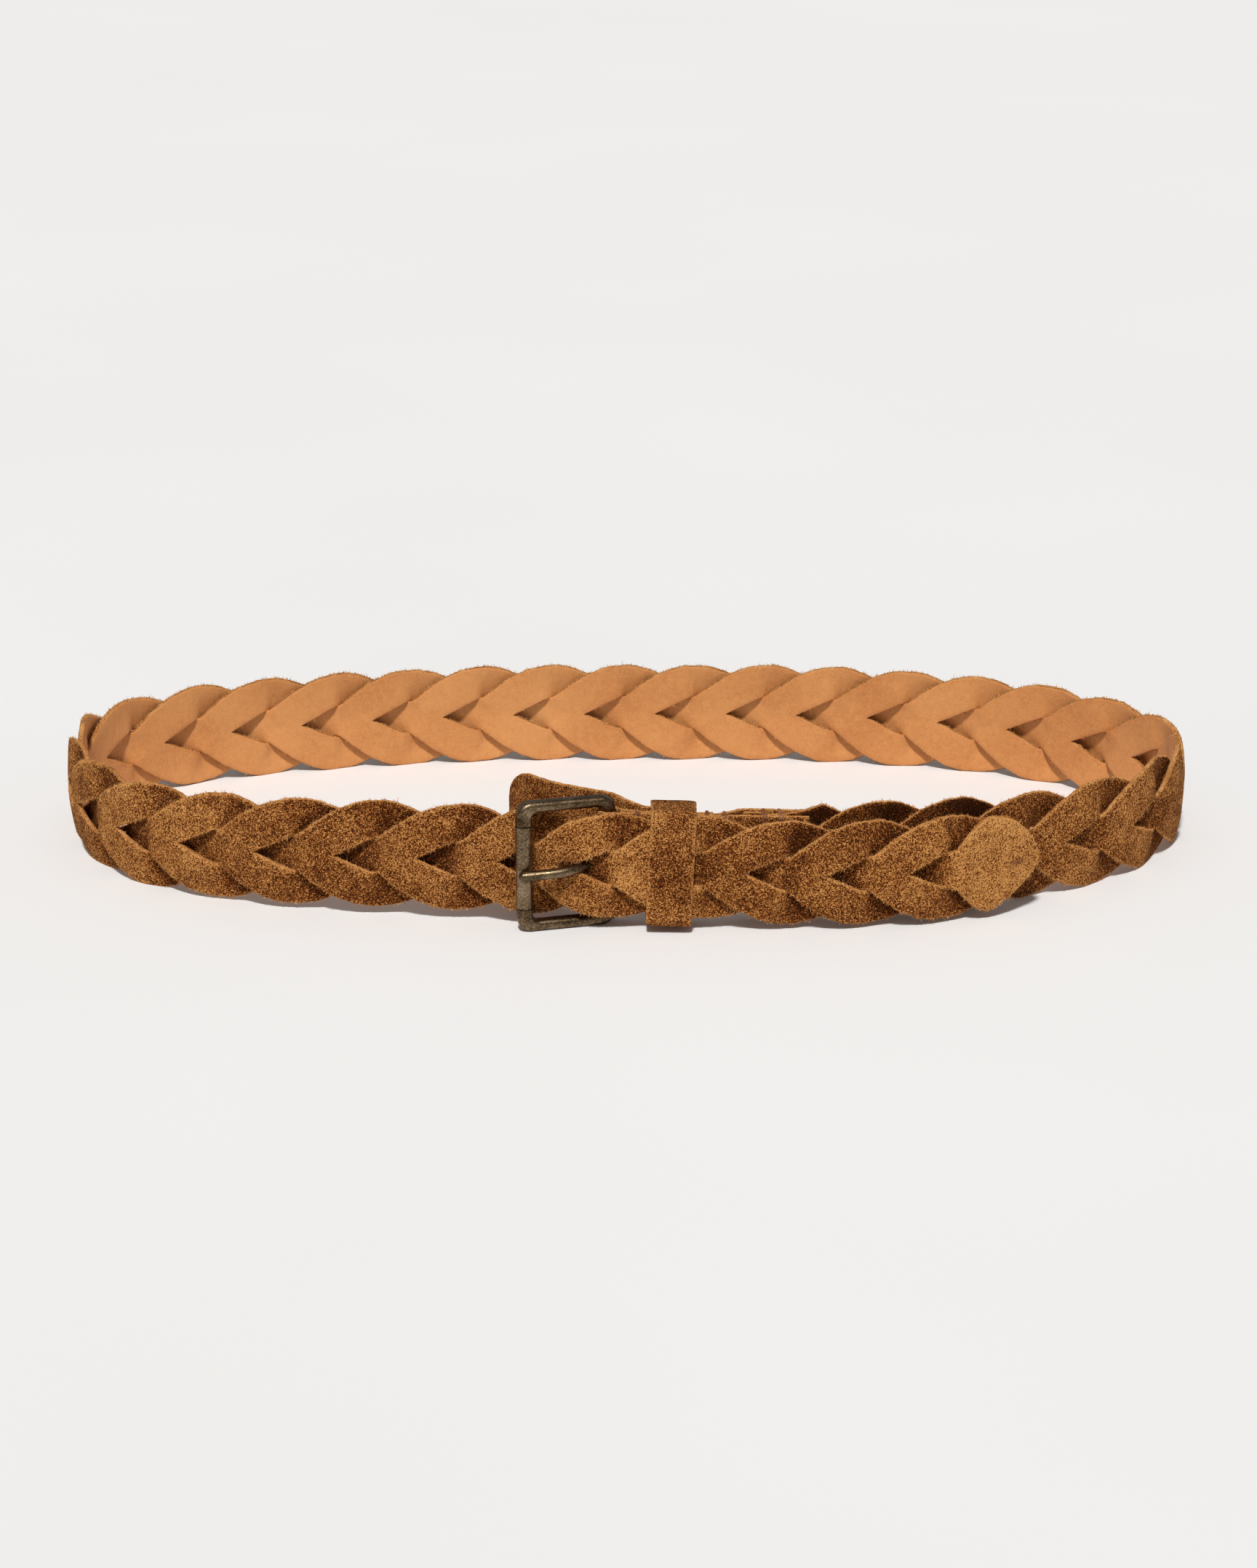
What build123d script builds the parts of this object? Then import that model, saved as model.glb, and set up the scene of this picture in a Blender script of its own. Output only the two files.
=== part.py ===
"""A braided suede belt, buckled into a loop and standing on its edge.

Two die-cut leather straps, each a chain of pointed rings with a slit in every ring, are woven
through each other. They start inside a folded suede chape that holds a roller buckle, run
anticlockwise round the waist, pass through the buckle and a keeper, and end in a leaf-shaped tip.
Millimetres, +Z up, +X to the wearer's left, the buckle at the front (-Y), the loop resting on Z = 0.
"""

import os
from math import atan2, cos, degrees, hypot, pi, radians, sin

from build123d import *

# ---------------------------------------------------------------- driving dimensions
STRAP_WIDTH = 38.0  # braid width, scallop to scallop
LEATHER = 2.1  # thickness of one strap
LAYER_GAP = 0.3  # air between the two straps where one lies over the other
PITCH = 27.7  # one V of the braid to the next along the belt, past the buckle
NECK = 0.17  # half-width of a strap between two rings, in strap widths
SLIT = 0.178  # half-width of a ring's opened slit, in strap widths
SLIT_END = 0.53  # a slit's end from the ring's middle, in pitches
CROSSING = 0.1  # half-length of the place where the straps change layers, in pitches
RING_POWER = 2.4  # how full a ring's outline is
SEWN_HALF = 14.8  # half a strap's width where it is drawn in under the chape
SLIM = 0.035  # how much narrower the braid is past the prong, as a share

# The belt's line seen from above: tangent arcs of (length, turn in degrees) from the chape.
LINE_START = (25.0, -84.0)
LINE_HEADING = 2.0
LINE = (
    (60, 7), (65, 15), (70, 40), (45, 68), (75, 33), (90, 14), (70, 3), (105, 13), (55, 19),
    (40, 60), (75, 55), (65, 22), (90, -2), (20, 11), (40, 1), (45, 6), (80, 33),
)
BRAID_START = 14.5  # where the straps begin inside the chape, along the line
HOLE_AT = 903.3  # the V that the prong passes through, along the line
# Back from that V the braid is drawn out at the front and bunched round the two ends.
PITCH_RUNS = ((7, 28.7), (2, 25.8), (15, 27.4), (2, 24.5), (2, 31.0), (6, 27.5))  # (pitches, each)
TIP_PITCHES = 5.75  # the tip, in pitches past that V
FIRST_RING = 0.53  # the middle of one of the first strap's rings, in pitches past that V
SECOND_RING = 1.53  # the same for the second strap
FIRST_END = 5.4  # the first strap stops under the leaf that the second strap ends in
LEAF_NECK = 4.53  # the neck that the leaf grows from
TAIL_FLEX = 1.5  # where the free end bends out of the keeper, in pitches past that V
FLEX_GAP = 0.9  # half the gap between loop and free end at that bend

BUCKLE_LIFT = 4.4  # how far the braid is held off the ground at the buckle
TIP_LIFT = 1.2  # the same at the tip, which droops
CHAPE_LIFT = 4.2  # the same where the braid leaves the chape

# Buckle
HEEL_BAR = (-7.0, -86.0)
TIP_BAR = (-35.4, -93.2)
FRAME_MID_Z = 23.4
FRAME_HEIGHT = 46.8
RAIL_HIGH = 3.8
RAIL_DEEP = 5.0
HEEL_R = 2.2
TIP_BAR_R = 1.82
ROLLER_R = 2.85
ROLLER_BORE_R = 1.9
ROLLER_LENGTH = 29.6
ROLLER_GAP = 0.35  # at either end of the roller
STUB_WIDE = 5.3  # the frame's tip end, beside the roller
RAIL_ROUND = 1.7
FRAME_CORNER = 5.0
WINDOW_CORNER = 2.4
TURNED_PLAY = 0.2  # between a turned-down bar and the frame or the leather beside it
HEEL_BAR_HALF = 18.7  # half the length turned down for the chape
PRONG_R = 1.75
PRONG_EYE_R = 4.15
PRONG_EYE_HIGH = 4.4
BAR_PLAY = 0.08
PRONG_Z = 23.2
PRONG_TIP_DROP = 1.6  # how far the prong's end lies below its eye
PRONG_WAY_AT = (-14.4, -91.5, PRONG_Z - 0.2)  # the opening that the prong keeps in the braid
PRONG_WAY_SIZE = (17.2, 12.0, 5.6)
PRONG_ROUTE = ((-10.2, -87.3), (-14.3, -90.6), (-19.5, -95.3), (-26.0, -97.2), (-35.4, -98.0))

# Suede fittings
CHAPE_LEATHER = 1.5
CHAPE_WIDTH = 36.0  # at the buckle
CHAPE_END_WIDTH = 29.8
CHAPE_END_X = 61.0
CHAPE_MID_Z = STRAP_WIDTH / 2 + BUCKLE_LIFT
FOLD_R = HEEL_R + TURNED_PLAY + CHAPE_LEATHER / 2  # the middle of the leather round the heel bar
FOLD_END = 50.0  # where the inner layer leaves the fold, in degrees
BRAID_STACK = LEATHER + LAYER_GAP / 2 + 0.2 + CHAPE_LEATHER / 2  # from the braid's middle to a layer's
CHAPE_FRONT = ((-7.0, HEEL_BAR[1] - FOLD_R), (4.0, -89.0), (15.0, -88.9), (27.0, -88.3), (33.0, -87.6))
CHAPE_BACK = ((-2.2, -85.6), (2.5, -87.0), (9.0, -87.3), (20.0, -87.2), (29.0, -86.6), (34.0, -83.9))
SLOT_LENGTH = 15.0  # the slot for the prong, through both layers of the fold
SLOT_PLAY = 1.6
SEWN_GAP = 0.1
FLAP_LINE = (
    (28.5, -84.8), (20.0, -85.35), (9.0, -85.45), (3.0, -84.5), (-5.0, -80.7), (-20.0, -72.6),
    (-31.0, -64.8), (-41.2, -54.2),
)
FLAP_WIDTH = 40.3
FLAP_TOP = 45.3
FLAP_CORNER = 11.0
KEEPER_LEATHER = 1.5
KEEPER_BAND = 15.0
KEEPER_MID_X = 14.4
KEEPER_FRONT = -96.3  # inner faces
KEEPER_BACK = -83.6
KEEPER_BOTTOM = 4.0
KEEPER_TOP = 42.7
KEEPER_LEAN = 2.5  # degrees
KEEPER_OUTER_ROUND = 3.4
KEEPER_INNER_ROUND = 1.8
KEEPER_STITCHES = (-3.0, 0.0, 3.0)  # heights of its stitches from its middle
KEEPER_STITCH = 8.0
THREAD = 0.7  # its diameter
THREAD_OUTER_ROUND = 1.1
THREAD_INNER_ROUND = 0.4
FOLD_ROW = (2.9, -89.9, -86.15)  # x, front and back of the stack that a row of thread goes round
MIDDLE_ROWS = ((26.6, -89.2, -84.0, 2), (32.5, -88.6, -83.9, 3))  # and its turn in degrees
END_ROWS = (21, 26.6)  # along the belt's line
TACK_AT = 5.3  # in pitches past the prong's V
TACK_LENGTH = 4.0

FOOTPRINT_MIDDLE = (-1.0, -8.18)  # moved to the origin, so the loop stands centred on it

os.makedirs("parts", exist_ok=True)


def save(shape, node):
    to_middle = Location((-FOOTPRINT_MIDDLE[0], -FOOTPRINT_MIDDLE[1], 0))
    solids = [solid.moved(to_middle) for solid in shape.solids()]
    export_step(solids[0] if len(solids) == 1 else Compound(solids), f"parts/{node}.step")


# ---------------------------------------------------------------- the belt's line
def line_at(s):
    """Point (x, y) and heading in radians at length s along the belt's line."""
    (x, y), heading = LINE_START, radians(LINE_HEADING)
    for length, turn in LINE:
        step = min(s, length)
        bend = radians(turn) * step / length
        chord = step if abs(bend) < 1e-9 else 2 * step / bend * sin(bend / 2)
        x += chord * cos(heading + bend / 2)
        y += chord * sin(heading + bend / 2)
        heading += bend
        s -= step
        if s <= 0:
            break
    return x, y, heading


def smooth(x):
    x = min(max(x, 0.0), 1.0)
    return x * x * (3 - 2 * x)


def lift_at(s):
    """Height of the braid's lower edge above the ground."""
    fall = CHAPE_LIFT * (1 - smooth(s / 170))
    rise = BUCKLE_LIFT * smooth((s - HOLE_AT + 190) / 175)
    return fall + rise + (TIP_LIFT - BUCKLE_LIFT) * smooth((s - HOLE_AT - 22) / 75)


def s_of(u):
    """Length along the line of a place given in pitches past the prong's V."""
    s = HOLE_AT + max(u, 0) * PITCH
    back = max(-u, 0)
    for count, each in PITCH_RUNS:
        s -= min(back, count) * each
        back -= min(back, count)
    return s


def u_of(s):
    """The place in pitches at length s along the line, by halving."""
    low, high = -34.0, 6.0
    for _ in range(40):
        mid = (low + high) / 2
        low, high = (mid, high) if s_of(mid) < s else (low, mid)
    return low


# ---------------------------------------------------------------- braided straps
def ring_phase(u, middle):
    """Place within a ring, -1 to 1, 0 at its slit's middle."""
    return (u - middle + 1) % 2 - 1


def half_width(u, middle):
    """Half the strap's outline, from neck to scallop."""
    x = (abs(ring_phase(u, middle)) - CROSSING) / (1 - 2 * CROSSING)
    x = min(max(x, 0.0), 1.0)
    full = STRAP_WIDTH * (NECK + (0.5 - NECK) * (1 - x**RING_POWER)) * (1 - SLIM * smooth(u + 0.5))
    sewn_in = SEWN_HALF + (STRAP_WIDTH / 2 - SEWN_HALF) * smooth((s_of(u) - 30) / 20)
    return min(full, sewn_in)


def leaf_half_width(u, neck):
    """Half the tip's outline: it swells from its neck and ends in a blunt point."""
    swell, blunt = 0.42, 0.58  # the two stretches, as shares of the tip's length
    x = (u - neck - CROSSING) / (TIP_PITCHES - neck - CROSSING)
    if x <= swell:
        return STRAP_WIDTH * (NECK + (0.45 - NECK) * sin(pi / 2 * max(x, 0) / swell))
    return STRAP_WIDTH * 0.45 * max(1 - ((x - swell) / blunt) ** 1.5, 0.03) ** 0.6


def slit_half_width(u, middle):
    x = abs(ring_phase(u, middle))
    return STRAP_WIDTH * SLIT * min(1.0, max(0.0, (SLIT_END - x) / (SLIT_END - CROSSING)))


def layer_offset(u, middle):
    """Outward offset from the braid's mid-surface: outside before a ring's middle, inside after."""
    x = ring_phase(u, middle)
    h = (LEATHER + LAYER_GAP) / 2
    if abs(x) < CROSSING:
        return -h * x / CROSSING
    if 1 - abs(x) < CROSSING:
        return h * (x - 1 if x > 0 else x + 1) / CROSSING
    return h if x < 0 else -h


def section(u, offset, low, high):
    """Upright rectangle across one strap at u, between two heights from the braid's middle."""
    s = s_of(u)
    x, y, heading = line_at(s)
    out = Vector(sin(heading), -cos(heading), 0)
    mid = Vector(x, y, STRAP_WIDTH / 2 + lift_at(s)) + out * offset
    side = out * (LEATHER / 2)
    up = Vector(0, 0, 1)
    corners = [mid - side + up * low, mid + side + up * low, mid + side + up * high, mid - side + up * high]
    return Wire.make_polygon(corners, close=True)


def upright_loft(stops, middle, widths, side=0):
    """A run of strap through the sections at stops: whole, or the arm above (1) or below (-1) a slit."""
    walls = []
    for u in stops:
        far = widths(u)
        near = -far if side == 0 else slit_half_width(u, middle)
        low, high = (near, far) if side >= 0 else (-far, -near)
        walls.append(section(u, layer_offset(u, middle), low, high))
    return Solid.make_loft(walls, ruled=True)


def clipped(stops, start, end):
    """The stops that lie between start and end, with either end added where it cuts the run."""
    inside = [u for u in stops if start + 0.03 < u < end - 0.03]
    before = [start] if stops[0] < start + 0.03 and stops[-1] > start + 0.03 else []
    after = [end] if stops[0] < end - 0.03 and stops[-1] > end - 0.03 else []
    return before + inside + after


def strap(middle, start, end):
    """One die-cut strap from start to end, in pitches; its rings sit at middle, middle + 2, ..."""
    solid_run = (-1.47, -1.28, -1.1, -0.9, -0.72, -0.53)
    slit_run = (-0.53, -0.32, -0.1, 0.1, 0.32, 0.53)
    pieces = []
    centre = middle + 2 * round((start - middle) / 2) - 2
    while centre < end + 2:
        whole = clipped([centre + f for f in solid_run], start, end)
        if len(whole) > 1:
            pieces.append(upright_loft(whole, middle, lambda u: half_width(u, middle)))
        arms = clipped([centre + f for f in slit_run], start, end)
        if len(arms) > 1:
            pieces += [upright_loft(arms, middle, lambda u: half_width(u, middle), side) for side in (1, -1)]
        centre += 2
    return pieces[0].fuse(*pieces[1:])


def leaf(neck):
    """The belt's tip beyond a neck of the strap that ends it."""
    start = neck + CROSSING
    stops = [start + (TIP_PITCHES - start) * sin(pi / 2 * i / 12) for i in range(13)]
    walls = [section(u, (LEATHER + LAYER_GAP) / 2, -leaf_half_width(u, neck), leaf_half_width(u, neck))
             for u in stops]
    return Solid.make_loft(walls, ruled=True)


u_start = u_of(BRAID_START)
flex_low = TAIL_FLEX - FLEX_GAP / PITCH
flex_high = TAIL_FLEX + FLEX_GAP / PITCH

prong_way = Pos(*PRONG_WAY_AT) * Box(*PRONG_WAY_SIZE)
first_strap = strap(FIRST_RING, u_start, flex_low) - prong_way
second_strap = strap(SECOND_RING, u_start, flex_low) - prong_way
first_tail = strap(FIRST_RING, flex_high, FIRST_END)
second_tail = strap(SECOND_RING, flex_high, LEAF_NECK + CROSSING).fuse(leaf(LEAF_NECK))
for node, shape in (
    ("first_strap", first_strap),
    ("second_strap", second_strap),
    ("first_strap_free_end", first_tail),
    ("second_strap_free_end", second_tail),
):
    save(shape, node)


# ---------------------------------------------------------------- buckle
reach = hypot(TIP_BAR[0] - HEEL_BAR[0], TIP_BAR[1] - HEEL_BAR[1])
frame_turn = degrees(atan2(TIP_BAR[1] - HEEL_BAR[1], TIP_BAR[0] - HEEL_BAR[0]))
at_heel = Pos(HEEL_BAR[0], HEEL_BAR[1], FRAME_MID_Z) * Rot(0, 0, frame_turn)


def buckle_frame():
    """A cast frame with rounded corners; both its bars are turned down, for the chape and the roller."""
    low, high = -HEEL_R - TURNED_PLAY, reach + STUB_WIDE / 2
    window_low, window_high = HEEL_R + TURNED_PLAY, reach - STUB_WIDE / 2
    window_half = FRAME_HEIGHT / 2 - RAIL_HIGH
    outer = Pos((low + high) / 2, 0) * RectangleRounded(high - low, FRAME_HEIGHT, FRAME_CORNER)
    window = Pos((window_low + window_high) / 2, 0)
    window *= RectangleRounded(window_high - window_low, 2 * window_half, WINDOW_CORNER)
    upright = Plane(origin=(0, 0, 0), x_dir=(1, 0, 0), z_dir=(0, -1, 0))
    frame = extrude(upright * (outer - window), RAIL_DEEP / 2, both=True)
    frame = fillet(frame.edges(), RAIL_ROUND)
    for x, radius, half in ((0, HEEL_R, HEEL_BAR_HALF), (reach, TIP_BAR_R, ROLLER_LENGTH / 2 + ROLLER_GAP)):
        frame -= Pos(x, 0, 0) * Box(2 * STUB_WIDE, 2 * RAIL_DEEP, 2 * half)
        frame += Pos(x, 0, 0) * Cylinder(radius, 2 * window_half + RAIL_HIGH)
    return at_heel * frame


def buckle_roller():
    tube = Cylinder(ROLLER_R, ROLLER_LENGTH) - Cylinder(ROLLER_BORE_R, ROLLER_LENGTH)
    return at_heel * Pos(reach, 0, 0) * tube


def buckle_prong():
    """A round tongue with an eye round the heel bar; it dips from the eye to rest on the roller."""
    points = []
    for i, (x, y) in enumerate(PRONG_ROUTE):
        drop = PRONG_TIP_DROP * (i / (len(PRONG_ROUTE) - 1)) ** 2
        points.append(Vector(x, y, PRONG_Z - drop))
    route = Spline(*points)
    tongue = sweep(Plane(origin=route @ 0, z_dir=route % 0) * Circle(PRONG_R), path=route)
    tongue += Pos(*points[-1]) * Sphere(PRONG_R)
    eye = Cylinder(PRONG_EYE_R, PRONG_EYE_HIGH) - Cylinder(HEEL_R + BAR_PLAY, PRONG_EYE_HIGH)
    bore = Pos(HEEL_BAR[0], HEEL_BAR[1], PRONG_Z) * Cylinder(HEEL_R + BAR_PLAY, PRONG_EYE_HIGH + 2)
    return (tongue - bore) + Pos(HEEL_BAR[0], HEEL_BAR[1], PRONG_Z) * eye


# ---------------------------------------------------------------- suede fittings
def ribbon(points, thickness, steps=24):
    """The plan of a strip of leather along a smooth curve through points, as a flat face."""
    curve = Spline(*[Vector(x, y, 0) for x, y in points])
    sides = ([], [])
    for i in range(steps + 1):
        at, along = curve @ (i / steps), curve % (i / steps)
        out = Vector(along.Y, -along.X, 0) * (thickness / 2)
        sides[0].append(at + out)
        sides[1].append(at - out)
    front, back = Spline(*sides[0]), Spline(*sides[1])
    return make_face([front, back, Line(front @ 0, back @ 0), Line(front @ 1, back @ 1)])


def chape_half(x):
    """Half the chape's width: it narrows from the buckle to where it ends on the braid."""
    return (CHAPE_WIDTH + (CHAPE_END_WIDTH - CHAPE_WIDTH) * min(max(x / CHAPE_END_X, 0), 1)) / 2


def over_braid(side, offset):
    """Points beside the braid inside the chape, outside it (1) or inside (-1)."""
    points = []
    for s in (14, 20, 26, 31, CHAPE_END_X - LINE_START[0]):
        x, y, heading = line_at(s)
        points.append((x + side * offset * sin(heading), y - side * offset * cos(heading)))
    return tuple(points)


def chape():
    """One strip folded round the heel bar, both layers running back over the straps' ends."""
    x, y = HEEL_BAR
    leave = (x + FOLD_R * cos(radians(FOLD_END)), y + FOLD_R * sin(radians(FOLD_END)))
    front = ribbon(CHAPE_FRONT + over_braid(1, BRAID_STACK), CHAPE_LEATHER, 36)
    back = ribbon((leave,) + CHAPE_BACK + over_braid(-1, BRAID_STACK), CHAPE_LEATHER, 48)
    turn = Circle(FOLD_R + CHAPE_LEATHER / 2) - Circle(FOLD_R - CHAPE_LEATHER / 2)
    open_side = make_face(Polyline((0, 0), (0.3, -9), (9, -9), (9, 10), (0, 0)))
    plan = front + back + Pos(x, y, 0) * (turn - open_side)
    strip = Pos(0, 0, CHAPE_MID_Z - CHAPE_WIDTH / 2) * extrude(plan, CHAPE_WIDTH)
    slot = Pos(x - 1.5, y - 1, PRONG_Z) * Box(SLOT_LENGTH, 14.0, PRONG_EYE_HIGH + SLOT_PLAY)
    taper = Polyline(
        (-12, -chape_half(0)), (0, -chape_half(0)), (CHAPE_END_X + 2, -chape_half(CHAPE_END_X)),
        (CHAPE_END_X + 2, chape_half(CHAPE_END_X)), (0, chape_half(0)), (-12, chape_half(0)),
        (-12, -chape_half(0)),
    )
    upright = Plane(origin=(0, 0, CHAPE_MID_Z), x_dir=(1, 0, 0), z_dir=(0, -1, 0))
    return (strip - slot) & extrude(upright * make_face(taper), 120, both=True)


def guard_flap():
    """The tab behind the buckle: it curls away from the belt, widens and has a rounded end."""
    strip = extrude(ribbon(FLAP_LINE, CHAPE_LEATHER, 36), 60)
    sewn = chape_half(FLAP_LINE[0][0]) - SEWN_GAP
    low, high = CHAPE_MID_Z - sewn, CHAPE_MID_Z + sewn
    end = FLAP_LINE[-1][0] + 0.4
    inside_keeper = (KEEPER_MID_X - KEEPER_BAND / 2 - 0.6, KEEPER_TOP - 0.5)
    outline = Polyline(
        (30, low), (24, low), (2, FLAP_TOP - FLAP_WIDTH), (end, FLAP_TOP - FLAP_WIDTH), (end, FLAP_TOP),
        (-6, FLAP_TOP), inside_keeper, (24, high), (30, high), (30, low),
    )
    face = make_face(outline)
    corners = face.vertices().sort_by(Axis.X)[:2]
    face = fillet(corners, FLAP_CORNER)
    upright = Plane(origin=(0, 0, 0), x_dir=(1, 0, 0), z_dir=(0, -1, 0))
    return strip & extrude(upright * face, 120, both=True)


keeper_middle = ((KEEPER_FRONT + KEEPER_BACK) / 2, (KEEPER_BOTTOM + KEEPER_TOP) / 2)
keeper_place = Pos(KEEPER_MID_X, *keeper_middle) * Rot(0, KEEPER_LEAN, 0)


def keeper():
    """A band of suede bent into a flat loop round the belt, its ends butted behind."""
    deep, high = KEEPER_BACK - KEEPER_FRONT, KEEPER_TOP - KEEPER_BOTTOM
    outer = RectangleRounded(deep + 2 * KEEPER_LEATHER, high + 2 * KEEPER_LEATHER, KEEPER_OUTER_ROUND)
    inner = RectangleRounded(deep, high, KEEPER_INNER_ROUND)
    loop = extrude(Plane.YZ * (outer - inner), KEEPER_BAND / 2, both=True)
    return keeper_place * loop


def keeper_thread():
    """The bar tack over the butted ends: three short stitches standing on the band's back."""
    stitches = []
    for z in KEEPER_STITCHES:
        deep = (KEEPER_BACK - KEEPER_FRONT) / 2 + KEEPER_LEATHER + THREAD / 2
        stitches.append(keeper_place * Pos(0, deep, z) * Rot(0, 90, 0) * Cylinder(THREAD / 2, KEEPER_STITCH))
    return Compound(children=stitches)


def edge_stitch(x, front, back, turn=0.0):
    """One row of thread round the stack at x, whipped over its upper and lower edges."""
    deep, high = back - front, 2 * chape_half(x - 1) + 2 * SEWN_GAP
    outer = RectangleRounded(deep + 2 * THREAD, high + 2 * THREAD, THREAD_OUTER_ROUND)
    inner = RectangleRounded(deep, high, THREAD_INNER_ROUND)
    loop = extrude(Plane.YZ * (outer - inner), THREAD / 2, both=True)
    return Pos(x, (front + back) / 2, CHAPE_MID_Z) * Rot(0, 0, turn) * loop


def braid_stitch(s):
    """One row of thread through chape and braid at length s along the line."""
    x, y, heading = line_at(s)
    deep = BRAID_STACK + CHAPE_LEATHER / 2 + SEWN_GAP
    return edge_stitch(x, y - deep, y + deep, degrees(heading))


def tip_tack():
    """The one stitch that holds the tip down on the other strap's end."""
    s = s_of(TACK_AT)
    x, y, heading = line_at(s)
    out = LEATHER + LAYER_GAP / 2 + THREAD / 2
    at = Pos(x + out * sin(heading), y - out * cos(heading), STRAP_WIDTH / 2 + lift_at(s))
    return at * Rot(0, 0, degrees(heading)) * Rot(0, 90, 0) * Cylinder(THREAD / 2, TACK_LENGTH)


save(buckle_frame(), "buckle_frame")
save(buckle_roller(), "buckle_roller")
save(buckle_prong(), "buckle_prong")
save(chape(), "chape")
save(guard_flap(), "guard_flap")
save(keeper(), "keeper")
save(keeper_thread(), "keeper_thread")
save(edge_stitch(*FOLD_ROW), "fold_stitches")
save(Compound(children=[edge_stitch(*row) for row in MIDDLE_ROWS]), "middle_stitches")
save(Compound(children=[braid_stitch(s) for s in END_ROWS]), "end_stitches")
save(tip_tack(), "tip_tack")
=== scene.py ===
"""The braided suede belt: leather, thread, metal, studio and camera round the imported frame.

Lengths are worked in millimetres, as in the part, and turned into metres where a mesh is made.
"""

from math import cos, pi, radians, sin

import bmesh
import bpy
import numpy as np
from mathutils import Matrix, Vector


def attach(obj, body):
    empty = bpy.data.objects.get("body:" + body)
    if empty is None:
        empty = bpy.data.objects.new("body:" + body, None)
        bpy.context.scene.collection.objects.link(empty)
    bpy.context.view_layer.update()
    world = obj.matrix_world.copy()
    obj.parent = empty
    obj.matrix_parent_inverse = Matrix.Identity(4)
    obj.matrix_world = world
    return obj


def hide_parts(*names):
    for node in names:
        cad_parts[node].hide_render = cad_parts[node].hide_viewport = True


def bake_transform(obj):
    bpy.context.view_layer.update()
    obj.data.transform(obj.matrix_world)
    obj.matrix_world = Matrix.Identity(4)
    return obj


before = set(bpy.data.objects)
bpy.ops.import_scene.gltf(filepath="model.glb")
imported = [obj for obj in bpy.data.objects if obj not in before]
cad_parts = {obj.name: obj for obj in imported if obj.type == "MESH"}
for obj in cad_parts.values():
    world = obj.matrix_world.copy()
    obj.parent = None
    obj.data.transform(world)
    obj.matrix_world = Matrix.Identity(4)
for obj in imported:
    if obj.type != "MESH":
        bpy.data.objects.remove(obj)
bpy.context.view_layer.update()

MM = 0.001
SHIFT = (1.0, 8.18)  # from the belt line's own origin to the frame's
TO_FRAME = np.array((*SHIFT, 0.0))

# ---------------------------------------------------------------- the belt's dimensions
STRAP_WIDTH = 38.0
LEATHER = 2.1
LAYER_GAP = 0.3
PITCH = 27.7
NECK = 0.17
SLIT = 0.168
SLIT_END = 0.53
CROSSING = 0.085  # half-length of the steepest change of layer, in pitches
CORNER = 0.05  # half-length of the straight neck between two rings
RING_POWER = 1.85
SEWN_HALF = 15.6
SLIM = 0.035
LINE_START = (25.0, -84.0)
LINE_HEADING = 2.0
LINE = (
    (60, 7), (65, 15), (70, 40), (45, 68), (75, 33), (90, 14), (70, 3), (105, 13), (55, 19),
    (40, 60), (75, 55), (65, 22), (90, -2), (20, 11), (40, 1), (45, 6), (80, 33),
)
BRAID_START = 14.5
HOLE_AT = 903.3
PITCH_RUNS = ((7, 28.7), (2, 25.8), (15, 27.4), (2, 24.5), (2, 31.0), (6, 27.5))
PRONG_PULL = -4.6  # how far the prong draws its V towards the roller
PRONG_HOLE = 2.0  # half-width of the opening that the prong passes through
FREE_END_SHADE = 0.8  # how much darker the braid is painted behind the free end, for the shade there
SHADE_IN = (22, 14)  # where that shade begins along the line, and over what length
SHADE_OUT = (96, 40)
LAP_SHADE = 0.26  # painted shade: how much darker a strap is painted where it lies under the other, and as much painted light where it lies over it
LEAF_TONE = 1.15
TIP_PITCHES = 5.75
FIRST_END = 5.4
LEAF_NECK = 4.53
FIRST_RING = 0.53
SECOND_RING = 1.53
PARTING = 1.25  # where the free end takes over from the loop, hidden in the keeper
BUCKLE_LIFT = 4.4
TIP_LIFT = 1.2
CHAPE_LIFT = 4.2
CHAPE_FALL = 170  # length over which the braid comes down from the chape
BUCKLE_RISE = (190, 175)  # how far before the prong's V it rises again, and over what length
TIP_FALL = (22, 75)  # how far past that V it comes down, and over what length
LAYER = (LEATHER + LAYER_GAP) / 2

HEEL_BAR = (-7.0, -86.0)
CHAPE_LEATHER = 1.5
CHAPE_WIDTH = 36.0
CHAPE_END_WIDTH = 29.8
CHAPE_END_X = 61.0
CHAPE_MID_Z = STRAP_WIDTH / 2 + BUCKLE_LIFT
FOLD_R = 2.2 + 0.2 + CHAPE_LEATHER / 2
FOLD_END = 50.0
BRAID_STACK = LEATHER + LAYER_GAP / 2 + 0.2 + CHAPE_LEATHER / 2
CHAPE_FRONT = ((-7.0, HEEL_BAR[1] - FOLD_R), (4.0, -89.0), (15.0, -88.9), (27.0, -88.3), (33.0, -87.6))
CHAPE_BACK = ((-2.2, -85.6), (2.5, -87.0), (9.0, -87.3), (20.0, -87.2), (29.0, -86.6), (34.0, -83.9))
FLAP_LINE = (
    (28.5, -84.8), (20.0, -85.35), (9.0, -85.45), (3.0, -84.5),
    (-5.0, -80.7), (-20.0, -72.6), (-31.0, -64.8), (-41.2, -54.2),
)
CHAPE_SLOT = (12.5, 3.1)  # half-length and half-width of the slot for the prong's eye
FLAP_WIDTH = 40.3
FLAP_TOP = 45.3
FLAP_CORNER = 11.0
KEEPER_LEATHER = 1.5
KEEPER_BAND = 15.0
KEEPER_MID_X = 14.4
KEEPER_FRONT = -96.3
KEEPER_BACK = -83.6
KEEPER_BOTTOM = 4.0
KEEPER_TOP = 42.7
KEEPER_LEAN = 2.5
KEEPER_ROUND = 2.5
KEEPER_PRESS = (0.35, 1.65, 0.35)  # where it flattens the braid, in pitches past the prong's V, and the ease
KEEPER_GAP = 0.12  # half the gap between the band's two ends
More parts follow.
